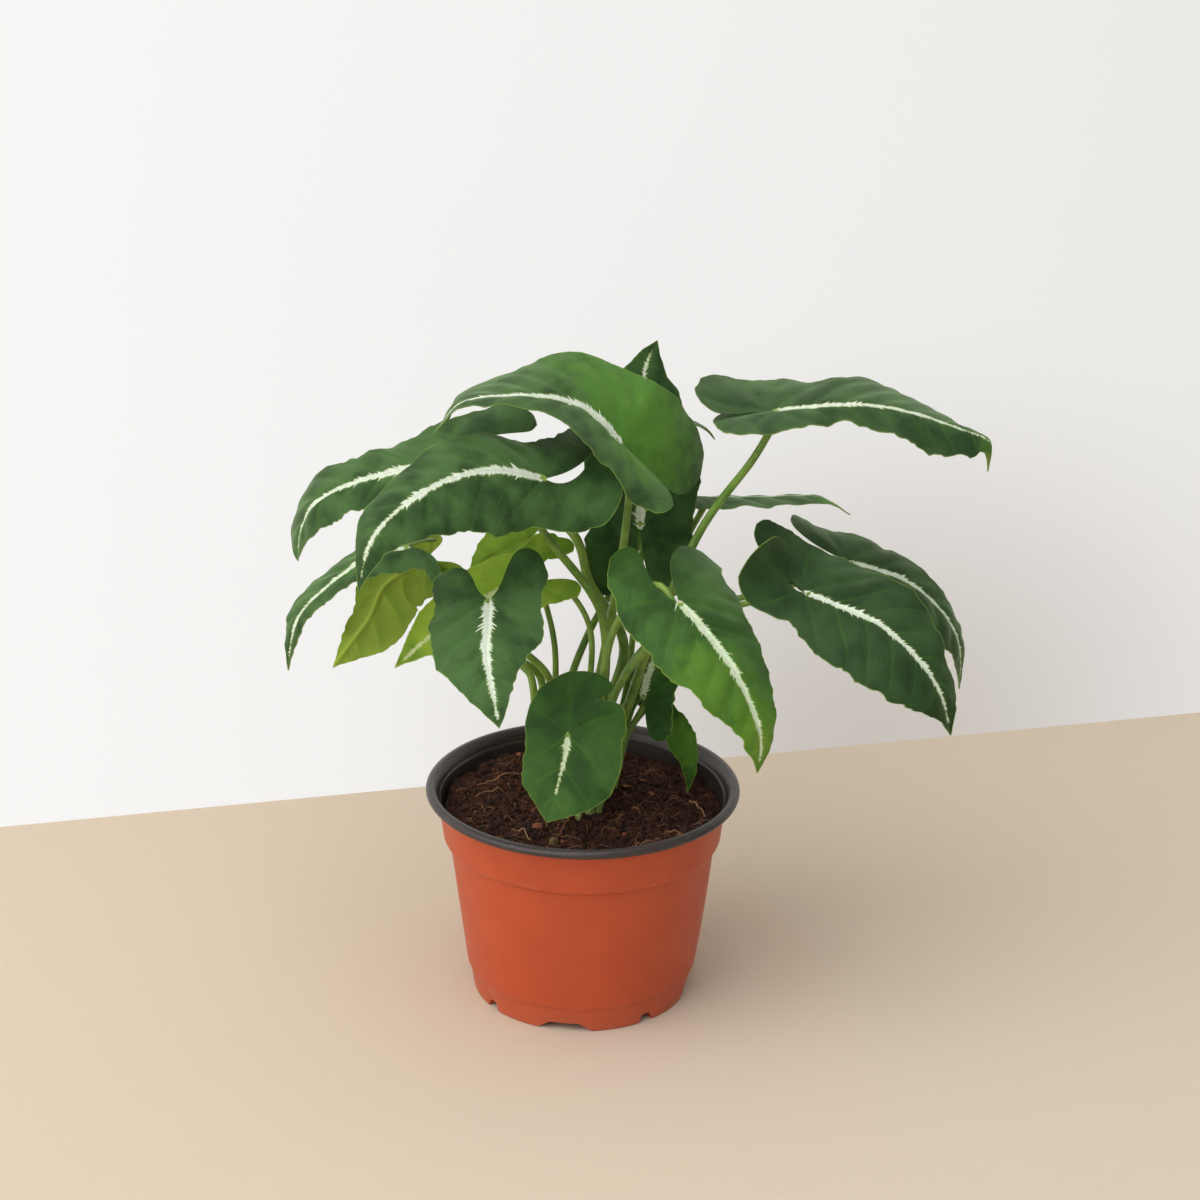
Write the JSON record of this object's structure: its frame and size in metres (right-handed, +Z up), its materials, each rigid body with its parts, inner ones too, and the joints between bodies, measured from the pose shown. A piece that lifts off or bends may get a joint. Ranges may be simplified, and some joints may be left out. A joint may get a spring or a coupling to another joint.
{
  "type": "potted arrowhead plant",
  "caption": "Potted arrowhead plant: dark velvety arrow-shaped leaves with a silver midrib, on long green petioles, in a terracotta-coloured plastic nursery pot.",
  "frame": {"origin": "under the middle of the whole plant's bounding box, leaves included, at the level of the pot's foot; the pot's own axis stands at X -0.0196, Y +0.0124", "axes": "+Z up along the pot's axis; +X to the right along the plant's widest spread; -Y towards the front, the side most leaves face"},
  "size_m": [0.2817, 0.1655, 0.2694],
  "materials": {
    "pot_plastic": "thin thermoformed plastic, terracotta orange and satin outside, dark grey-brown inside and on the rolled rim",
    "potting_mix": "moist coir and bark mix, dark brown with tan fibres and small reddish bark pieces",
    "shoot": "short fleshy pale green stem base",
    "petiole": "smooth fleshy leaf stalk, fresh green, satin",
    "leaf_dark": "thin velvety leaf, dark green with a ragged silver-white band along the midrib, paler below",
    "leaf_mid": "thin velvety leaf, mid green with yellow-green patches and a silver-white midrib band",
    "leaf_yellow": "thin young or old leaf, yellow-green, lets light through"
  },
  "bodies": {
    "root": {"pot": "pot_plastic", "potting_mix": "potting_mix", "shoot_left": "shoot", "shoot_middle": "shoot", "shoot_right": "shoot", "leaf_crest": "leaf_dark", "petiole_crest": "petiole", "leaf_front_left": "leaf_dark", "petiole_front_left": "petiole", "leaf_back_left": "leaf_dark", "petiole_back_left": "petiole", "leaf_far_left": "leaf_dark", "petiole_far_left": "petiole", "leaf_yellow_hanging": "leaf_yellow", "petiole_yellow_hanging": "petiole", "leaf_young_left": "leaf_yellow", "petiole_young_left": "petiole", "leaf_front_centre": "leaf_dark", "petiole_front_centre": "petiole", "leaf_yellow_back": "leaf_yellow", "petiole_yellow_back": "petiole", "leaf_small_front": "leaf_mid", "petiole_small_front": "petiole", "leaf_front_right": "leaf_mid", "petiole_front_right": "petiole", "leaf_right": "leaf_dark", "petiole_right": "petiole", "leaf_right_back": "leaf_dark", "petiole_right_back": "petiole", "leaf_top_right": "leaf_dark", "petiole_top_right": "petiole", "leaf_edge_on": "leaf_dark", "petiole_edge_on": "petiole", "leaf_upright_back": "leaf_dark", "petiole_upright_back": "petiole", "leaf_small_right": "leaf_mid", "petiole_small_right": "petiole", "leaf_hanging_tip": "leaf_mid", "petiole_hanging_tip": "petiole", "leaf_behind_crest": "leaf_dark", "petiole_behind_crest": "petiole"}
  },
  "joints": []
}
